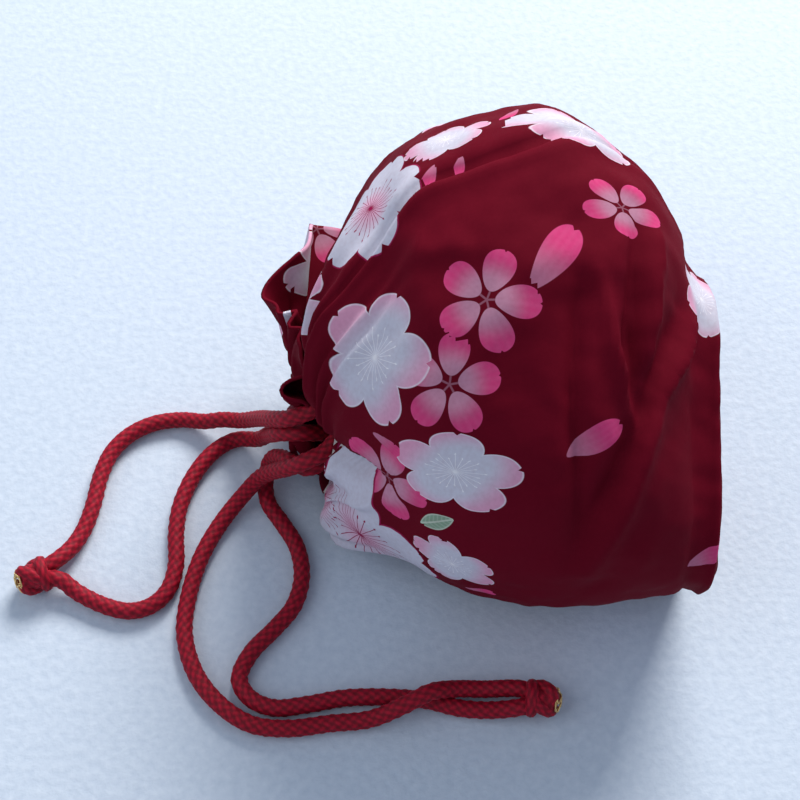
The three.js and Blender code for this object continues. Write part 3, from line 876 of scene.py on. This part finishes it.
def tube(name, line, radius, sides=36, braid=0.0, pitch=BRAID_PITCH, closed=False):
    """A round tube along a line, with a braid's relief as a share of its radius."""
    across_1, across_2 = line_frames(line, closed)
    turn = np.linspace(0, 1, sides + 1)
    step = run_along(line)
    if closed:
        pitch = step[-1] / max(1, round(step[-1] / pitch))
    height = braid_height(turn[None, :], step[:, None] / pitch)
    reach = radius * (1 - braid + braid * height)
    if not closed:
        end = np.minimum(step, step[-1] - step)[:, None]
        reach = reach * np.sqrt(np.clip(1 - (1 - np.clip(end / (0.5 * radius), 0, 1)) ** 2, 0, 1))
    angle = 2 * np.pi * turn
    points = (line[:, None] + reach[..., None] * (
        np.cos(angle)[None, :, None] * across_1[:, None]
        + np.sin(angle)[None, :, None] * across_2[:, None]))
    piece = new_grid(name, points)
    strand = piece.data.attributes.new("strand", "FLOAT", "POINT")
    strand.data.foreach_set("value", height.ravel())
    merge_doubles(piece)
    edit_all(piece, bpy.ops.mesh.normals_make_consistent, inside=False)
    shade_smooth(piece)
    return piece


def add_cord(side, points, material):
    """A braided cord, with its centreline in the frame and its length in millimetres."""
    line, length = smooth_line(points, CORD_STEP)
    piece = tube(f"{side}_braid", line, CORD_DIAMETER / 2, braid=0.17)
    finish_piece(piece, material, "braid", f"{side}_cord")
    return piece, [tuple(place_in_frame(point)) for point in line[::2]], length


# -------------------------------------------------------------------------- knots and caps

KNOTS = {
    "far": {"place": (-130.4, -42.0, 5.3), "direction": (-0.94, -0.34, 0)},
    "near": {"place": (2.8, -79.4, 5.3), "direction": (1, -0.08, 0)},
}
KNOT_LENGTH = 9.4
KNOT_RADIUS = 5.3
KNOT_STRAND = 1.95                # the braid's radius where the knot pulls it tight
KNOT_LOBE = 0.95                  # how far its turns weave in and out
KNOT_PITCH = 15.0
COLLAR = {"reach": 3.45, "height": 1.9, "radius": 1.85}      # the turn nearest the cords
CORE_RADIUS = 3.9
CAP_SINK = 1.3                    # how far the cap sits down over the knot
CAP_SCROLLS = 6


def along_knot(side, points):
    """Turns points made along +Z from a knot's flat end to where that knot lies."""
    direction = Vector(KNOTS[side]["direction"]).normalized()
    turn = Vector((0, 0, 1)).rotation_difference(direction).to_matrix()
    return np.array(points) @ np.array(turn).T + np.array(KNOTS[side]["place"])


def flat_ring(radius, height, count):
    """Points round a circle across a knot's axis."""
    turn = np.linspace(0, 2 * np.pi, count, endpoint=False)
    return np.stack((radius * np.cos(turn), radius * np.sin(turn), 0 * turn + height), -1)


def knot_strand(side, points, radius, braid, closed):
    """One stretch of a knot's braid, along points made from the knot's flat end."""
    line, _ = smooth_line(along_knot(side, points), 0.5, closed)
    return tube("strand", line, radius, sides=30, braid=braid, pitch=KNOT_PITCH, closed=closed)


def add_knot(side, material):
    """An overhand stopper knot pulled up into a ball, its turns lying over one another."""
    angle = np.linspace(0, 2 * np.pi, 60, endpoint=False)
    reach = KNOT_RADIUS - KNOT_STRAND - KNOT_LOBE + KNOT_LOBE * np.cos(3 * angle)
    rise = KNOT_LENGTH / 2 + (KNOT_LENGTH / 2 - KNOT_STRAND) * np.sin(3 * angle)
    lobes = np.stack((reach * np.cos(2 * angle), reach * np.sin(2 * angle), rise), -1)
    spine = np.stack((np.zeros(9), np.zeros(9), np.linspace(0.6, KNOT_LENGTH - 0.5, 9)), -1)
    turns = knot_strand(side, lobes, KNOT_STRAND, 0.16, True)
    ring = flat_ring(COLLAR["reach"], COLLAR["height"], 24)
    collar = knot_strand(side, ring, COLLAR["radius"], 0.15, True)
    core = knot_strand(side, spine, CORE_RADIUS, 0.08, False)
    piece = join([turns, collar, core], f"{side}_stopper_knot")
    return finish_piece(piece, material, "braid", f"{side}_knot")


def wire(points, radius, side, closed=False, spacing=0.16):
    line, _ = smooth_line(along_knot(side, points), spacing, closed)
    return tube("wire", line, radius, sides=10, closed=closed)


def scroll(lean, base):
    """A wire that curls inwards and up from the cap's rim."""
    s = np.linspace(0, 1, 15)
    angle = lean + 0.52 * np.sin(s * 1.75 * np.pi) * (1 - 0.45 * s) + 0.1
    radius = 3.2 - 1.7 * s + 0.45 * np.sin(2.2 * np.pi * s)
    height = base + 0.35 + 1.45 * np.sin(0.5 * np.pi * s)
    return np.stack((radius * np.cos(angle), radius * np.sin(angle), height), -1)


def wire_leaf(lean, base):
    """A small closed loop of wire between two scrolls."""
    turn = np.linspace(0, 2 * np.pi, 12, endpoint=False)
    radius = 2.75 + 0.5 * np.cos(turn)
    angle = lean + 0.52 + 0.17 * np.sin(turn)
    height = base + 0.62 - 0.28 * np.cos(turn)
    return np.stack((radius * np.cos(angle), radius * np.sin(angle), height), -1)


def add_cap(side, material):
    """A gilt filigree bead cap: a ring, a bead over its hole, and scrolls between them."""
    base = KNOT_LENGTH - CAP_SINK
    parts = [wire(flat_ring(3.3, base + 0.2, 32), 0.28, side, closed=True),
             wire(flat_ring(1.25, base + 1.75, 32), 0.26, side, closed=True)]
    for k in range(CAP_SCROLLS):
        lean = 2 * np.pi * k / CAP_SCROLLS
        parts.append(wire(scroll(lean, base), 0.26, side))
        parts.append(wire(wire_leaf(lean, base), 0.19, side, closed=True))
    bead = np.stack((np.zeros(5), np.zeros(5), base + np.linspace(0.75, 1.75, 5)), -1)
    parts.append(wire(bead, 0.85, side, spacing=0.1))
    piece = join(parts, f"{side}_filigree_cap")
    return finish_piece(piece, material, "gold", f"{side}_cap")


# ------------------------------------------------------------------------------ the sleeves

CASING = {"inner": 11.7, "outer": 18.6, "back": -42.8, "front": -54.8}
CASING_SPANS = {"front": (226, 308), "back": (334, 496)}      # degrees round the neck
CASING_ROWS = 70
CASING_CLOTH = 0.45


def add_casing(side, start, end, material):
    """A cord sleeve sewn flat round part of the neck, puffed out by the cords inside it."""
    loop = np.linspace(0, 2 * np.pi, 41)
    middle_x = (CASING["back"] + CASING["front"]) / 2
    half_x = (CASING["back"] - CASING["front"]) / 2 - 0.3
    middle_r = (CASING["outer"] + CASING["inner"]) / 2
    half_r = (CASING["outer"] - CASING["inner"]) / 2 - 0.25
    box = np.sign(np.cos(loop)) * np.abs(np.cos(loop)) ** 0.55
    puff = np.sign(np.sin(loop)) * np.abs(np.sin(loop)) ** 0.6
    rows = []
    for index in range(CASING_ROWS):
        share = index / (CASING_ROWS - 1)
        angle = math.radians(start + (end - start) * share)
        pucker = 0.5 * math.sin(angle * 17) + 0.3 * math.sin(angle * 29 + 1)
        mouth = 1 + 0.025 * math.cos(math.pi * share) ** 8
        radius = middle_r + half_r * puff * mouth + np.where(puff > 0, pucker - 0.8, 0) * 0.5
        rows.append([round_neck(x, r, angle) for x, r in zip(middle_x + half_x * box, radius)])
    points = np.array(rows)
    piece = new_grid(f"{side}_sleeve", points)
    add_thread(piece, points)
    merge_doubles(piece)
    outward_from_axis(piece)
    thicken(piece, CASING_CLOTH)
    shade_smooth(piece)
    return finish_piece(piece, material, "printed_cotton", f"{side}_casing")


def outward_from_axis(piece):
    """Turns a sleeve's faces so the outermost one looks away from the neck's axis."""
    axis = place_in_frame((CASING["back"], NECK["y"], NECK["z"]))
    outermost = max(piece.data.polygons, key=lambda face: (face.center - axis).yz.length)
    if (outermost.center - axis).yz.dot(outermost.normal.yz) < 0:
        flip_faces(piece)


def write_thread(piece, across, along):
    """Writes where a cloth's threads run: millimetres across it and along it, for each point."""
    thread = np.stack((across + 0 * along, along + 0 * across, 0 * along + 0 * across), -1)
    made = piece.data.attributes.new("thread", "FLOAT_VECTOR", "POINT")
    made.data.foreach_set("vector", thread.ravel())


def add_thread(piece, points):
    middle_row, middle_column = points[len(points) // 2], points[:, points.shape[1] // 2]
    write_thread(piece, run_along(middle_row)[None], run_along(middle_column)[:, None])


# -------------------------------------------------------------------------------- the cloth

OUTER_COLUMNS = 116               # in each panel
LINING_COLUMNS = 60
OUTER_THICKNESS = 0.9
LINING_THICKNESS = 0.6
CLEARANCE = 0.1                   # between the cloth and the surface under it

# The print: a shape, the place of its middle, its reach, its turn in degrees from the
# direction round the pouch, which of the two layers it lies in, and how far the cloth
# squeezes it round the pouch.
STAMPS = (
    ("white_blossom", (-37, -23, 88), 17, -85, 1, 0.95),
    ("pink_blossom", (-11, -19, 107), 12.6, -157, 0, 1),
    ("pink_blossom", (-20, -35, 96), 12.4, -29, 0, 1),
    ("petal", (5, -11, 113), 9.5, -144, 0, 1),
    ("pink_blossom", (22, 5, 110), 12, -154, 0, 0.62),
    ("petal", (15, -48, 91), 7.4, -122, 0, 1),
    ("petal", (46, -58, 52), 5.5, -111, 0, 1),
    ("white_blossom", (-18, -51, 82), 17, -107, 1, 0.58),
    ("pink_blossom", (-36, -45, 66), 14.5, -93, 0, 0.8),
    ("leaf", (-22, -57, 66), 6.0, -124, 1, 1),
    ("white_blossom", (-19, -62, 53), 12, -127, 1, 0.8),
    ("petal", (-11, -64, 40), 4.5, -120, 1, 1),
    ("petal", (-34, -40, 76), 6.0, -60, 1, 0.6),
    ("open_blossom", (-40, -41, 30), 27, -133, 1, 1),
    ("white_blossom", (-20, 31, 106), 12, 35, 1, 0.62),
    ("petal", (-3, 36, 109), 5, 20, 0, 0.7),
    ("white_blossom", (12, 27, 112), 16, 170, 1, 0.45),
    ("petal", (-23, 18, 108), 4, 30, 0, 0.8),
    ("petal", (-16, 19, 111), 3.2, 15, 0, 0.8),
    ("open_blossom", (-39, 17, 95), 17, 60, 1, 1),
    ("white_blossom", (-50, 2, 72), 12, 40, 0, 0.9),
    ("white_blossom", (46, -3, 84), 10, 200, 1, 1),
    ("petal", (20, 32, 106), 5, 80, 0, 0.8),
    ("white_blossom", (-62, 30, 55), 12, 200, 1, 1),
    ("leaf", (-54, 36, 68), 4.5, 30, 0, 1),
    ("pink_blossom", (-60, 48, 46), 11, 100, 0, 1),
    ("open_blossom", (-56, -28, 24), 17, 10, 1, 1),
    ("open_blossom", (-58, -24, 20), 15, 10, 1, 1),
    ("pink_blossom", (-58, 4, 12), 11, 60, 0, 1),
    ("white_blossom", (-58, 34, 30), 13, 140, 1, 1),
    ("white_blossom", (-10, 60, 84), 18, 40, 1, 1),
    ("pink_blossom", (14, 58, 76), 14, 100, 0, 1),
    ("petal", (30, 44, 80), 7, 150, 0, 1),
    ("open_blossom", (-22, 62, 58), 20, 80, 1, 1),
    ("leaf", (2, 64, 60), 6, 20, 1, 1),
    ("pink_blossom", (-2, 62, 40), 14, 10, 0, 1),
    ("white_blossom", (24, 52, 44), 16, 60, 1, 1),
    ("petal", (10, 58, 28), 6, 200, 0, 1),
    ("white_blossom", (-28, 48, 24), 16, 120, 1, 1),
    ("petal", (44, 20, 50), 7, 30, 0, 1),
    ("pink_blossom", (50, -22, 46), 14, 40, 0, 1),
    ("petal", (50, -34, 26), 6, 250, 0, 1),
    ("white_blossom", (50, 4, 24), 15, 10, 1, 1),
    ("white_blossom", (28, -56, 20), 15, 30, 1, 1),
    ("pink_blossom", (2, -60, 20), 13, 70, 0, 1),
    ("petal", (36, -52, 36), 6, 10, 0, 1),
    ("white_blossom", (0, 0, 0), 17, 20, 1, 1),
    ("pink_blossom", (24, 16, 0), 14, 140, 0, 1),
    ("open_blossom", (-24, -14, 0), 18, 60, 1, 1),
)


STAMP_EDGE = 1.25                 # how far out a stamp is carried, in its reach
UNCOVERED = 9.0


def stamp_frames(points, normals):
    """For each stamp: its middle on the cloth, its two directions and its normal."""
    around = np.gradient(points, axis=1)
    along = np.gradient(points, axis=0)
    frames = []
    for shape, place, reach, turn, layer, squeeze in STAMPS:
        gap = np.linalg.norm(points - np.array(place), axis=2)
        row, column = np.unravel_index(gap.argmin(), gap.shape)
        normal = normals[row, column]
        first = around[row, column] - (around[row, column] @ normal) * normal
        first /= np.linalg.norm(first)
        second = np.cross(first, normal)
        second *= np.sign(second @ along[row, column])
        angle = math.radians(turn)
        first = first / squeeze
        x_way = math.cos(angle) * first + math.sin(angle) * second
        y_way = -math.sin(angle) * first + math.cos(angle) * second
        frames.append((shape, points[row, column], x_way, y_way, normal, reach, layer))
    return frames


def read_vectors(items, name):
    values = np.empty(len(items) * 3)
    items.foreach_get(name, values)
    return values.reshape(-1, 3)


def add_stamps(piece, points, normals):
    """Writes each stamp's own coordinates on the corners of the faces that it covers."""
    mesh = piece.data
    places = read_vectors(mesh.vertices, "co") / MM + np.array(MIDDLE)
    facing = read_vectors(mesh.vertices, "normal")
    loops = np.empty(len(mesh.loops), int)
    mesh.loops.foreach_get("vertex_index", loops)
    corners = np.empty(len(mesh.polygons), int)
    mesh.polygons.foreach_get("loop_total", corners)
    owner = np.repeat(np.arange(len(corners)), corners)
    best = [np.full(len(corners), UNCOVERED) for _ in STAMP_LAYERS]
    carried = [np.zeros((len(loops), 3)) for _ in STAMP_LAYERS]
    for shape, middle, x_way, y_way, normal, reach, layer in stamp_frames(points, normals):
        away = places - middle
        x, y = away @ x_way / reach, away @ y_way / reach
        spread = np.hypot(x, y)
        deep = np.abs(away @ normal) / reach
        off = (spread > STAMP_EDGE) | (deep > 1.0) | (facing @ normal < 0.1)
        worst = np.zeros(len(corners))
        np.maximum.at(worst, owner, np.where(off, UNCOVERED, spread)[loops])
        covered = worst < best[layer]
        best[layer] = np.where(covered, worst, best[layer])
        kind = np.full(len(x), float(STAMP_KINDS[shape]))
        value = np.stack((x, y, kind), -1)[loops]
        carried[layer] = np.where(covered[owner][:, None], value, carried[layer])
    for name, values in zip(STAMP_LAYERS, carried):
        made = mesh.attributes.new(name, "FLOAT_VECTOR", "CORNER")
        made.data.foreach_set("vector", values.ravel())


def cloth_piece(name, runs, columns, depth, thickness, printed):
    """One of the two bags: both panels sewn together, lying on the surface."""
    points, normals, rows = shaped_cloth(runs, columns, depth)
    lift = np.array([CLOTH if stretch == "frill" else 0.0 for stretch, _ in rows]) + depth
    points[..., 2] = settle(points[..., 2] - lift[:, None]) + lift[:, None] + CLEARANCE
    across = np.linspace(0, PANEL_WIDTH, columns + 1)[None]
    along = run_along(points[:, columns // 2])[:, None]
    panels = []
    for index, panel in enumerate(("front", "back")):
        chosen = slice(index * (columns + 1), (index + 1) * (columns + 1))
        piece = new_grid(f"{name}_{panel}", points[:, chosen])
        write_thread(piece, across, along)
        panels.append(piece)
    piece = join(panels, name)
    merge_doubles(piece, 0.00002)
    face = max(piece.data.polygons, key=lambda f: f.center.z)
    if face.normal.z < 0:
        flip_faces(piece)
    if printed:
        add_stamps(piece, points, normals)
    thicken(piece, thickness)
    shade_smooth(piece)
    return piece


# ------------------------------------------------------------------------------- the making

add_camera()
materials = {"cotton": printed_cotton(), "lining": lining_cotton(), "cord": braided_cord(),
             "gold": gilt(), "floor": pale_floor()}

far_run = [*FAR_OUT, *ring_points(CORD_RING["far_lane"], *FAR_RING), *FAR_BACK]
near_run = [*NEAR_OUT, *ring_points(CORD_RING["near_lane"], *NEAR_RING), *NEAR_BACK]
for side, run in (("far", far_run), ("near", near_run)):
    cord, path, length = add_cord(side, run, materials["cord"])
    knot = add_knot(side, materials["cord"])
    cap = add_cap(side, materials["gold"])
    length * MM

outer_cloth = cloth_piece("outer_cloth", OUTER_RUNS, OUTER_COLUMNS, 0.0, OUTER_THICKNESS, True)
finish_piece(outer_cloth, materials["cotton"], "printed_cotton", "outer_bag")

lining_cloth = cloth_piece(
    "lining_cloth", LINING_RUNS, LINING_COLUMNS, LINING_DEPTH, LINING_THICKNESS, False)
finish_piece(lining_cloth, materials["lining"], "lining", "lining_bag")

for side, span in CASING_SPANS.items():
    add_casing(side, *span, materials["cotton"])

bpy.ops.object.select_all(action="DESELECT")
bpy.ops.mesh.primitive_plane_add(size=3.2, location=(0, 0, 0))
floor = bpy.context.object
floor.name = "floor"
floor.data.materials.append(materials["floor"])
add_lights()
bpy.context.scene.view_settings.view_transform = "Standard"
